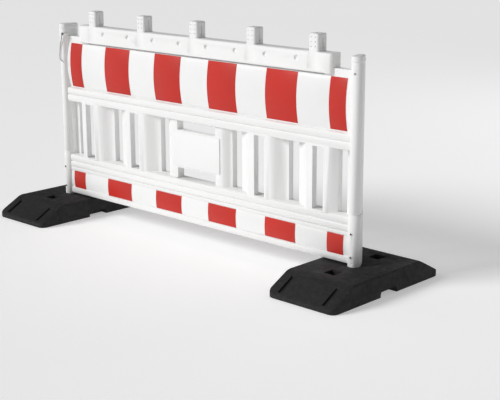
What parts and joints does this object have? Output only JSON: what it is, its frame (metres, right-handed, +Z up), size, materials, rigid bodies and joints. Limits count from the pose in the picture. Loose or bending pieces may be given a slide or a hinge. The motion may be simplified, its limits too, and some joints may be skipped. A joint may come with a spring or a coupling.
{
  "type": "traffic barrier",
  "caption": "Portable road barrier: hollow white plastic fence panel with red and white sheeting bands and lamp seats, standing on rubber footplates, with a hanging coupling hook.",
  "frame": {"origin": "on the ground under the middle of the overall box", "axes": "+X along the barrier towards the end with the catch hole, +Z up, the stored front face towards -Y"},
  "size_m": [2.488, 0.8, 1.17],
  "materials": {
    "white_plastic": "moulded white polyethylene, satin",
    "white_sheeting": "white retroreflective film",
    "red_sheeting": "red retroreflective film",
    "name_plate": "blank white plate",
    "zinc_tube": "galvanised steel tube",
    "zinc_hardware": "zinc-plated steel",
    "dark_fastener": "dark zinc screws",
    "recycled_rubber": "pressed recycled rubber granulate"
  },
  "bodies": {
    "barrier": {"foot_tube_left": "zinc_tube", "foot_tube_right": "zinc_tube", "front_screw_left_1": "dark_fastener", "front_screw_left_2": "dark_fastener", "front_screw_right_1": "dark_fastener", "front_screw_right_2": "dark_fastener", "hook_pin": "zinc_hardware", "name_plate_back": "name_plate", "name_plate_front": "name_plate", "panel": "white_plastic", "post_cap_left": "white_plastic", "post_cap_right": "white_plastic", "rear_screw_left_1": "dark_fastener", "rear_screw_left_2": "dark_fastener", "rear_screw_right_1": "dark_fastener", "rear_screw_right_2": "dark_fastener", "rear_tube_left": "zinc_tube", "rear_tube_right": "zinc_tube", "sheeting_lower_back": "white_sheeting", "sheeting_lower_front": "white_sheeting", "sheeting_upper_back": "white_sheeting", "sheeting_upper_front": "white_sheeting", "sleeve_left": "white_plastic", "sleeve_right": "white_plastic", "stripe_lower_back_1": "red_sheeting", "stripe_lower_back_2": "red_sheeting", "stripe_lower_back_3": "red_sheeting", "stripe_lower_back_4": "red_sheeting", "stripe_lower_back_5": "red_sheeting", "stripe_lower_back_6": "red_sheeting", "stripe_lower_front_1": "red_sheeting", "stripe_lower_front_2": "red_sheeting", "stripe_lower_front_3": "red_sheeting", "stripe_lower_front_4": "red_sheeting", "stripe_lower_front_5": "red_sheeting", "stripe_lower_front_6": "red_sheeting", "stripe_upper_back_1": "red_sheeting", "stripe_upper_back_2": "red_sheeting", "stripe_upper_back_3": "red_sheeting", "stripe_upper_back_4": "red_sheeting", "stripe_upper_back_5": "red_sheeting", "stripe_upper_back_6": "red_sheeting", "stripe_upper_front_1": "red_sheeting", "stripe_upper_front_2": "red_sheeting", "stripe_upper_front_3": "red_sheeting", "stripe_upper_front_4": "red_sheeting", "stripe_upper_front_5": "red_sheeting", "stripe_upper_front_6": "red_sheeting"},
    "hook": {"coupling_hook": "zinc_hardware"},
    "foot_left": {"footplate_left": "recycled_rubber"},
    "foot_right": {"footplate_right": "recycled_rubber"}
  },
  "joints": [
    {"name": "hook_swing", "type": "hinge", "parent": "barrier", "child": "hook", "pos_m": [-1.033, -0.0585, 1.033], "axis": [0, 1, 0], "range_deg": [0, 100]},
    {"name": "foot_left_pull", "type": "slide", "parent": "barrier", "child": "foot_left", "axis": [0, 0, -1], "range_m": [0, 0.12]},
    {"name": "foot_right_pull", "type": "slide", "parent": "barrier", "child": "foot_right", "axis": [0, 0, -1], "range_m": [0, 0.12]}
  ]
}
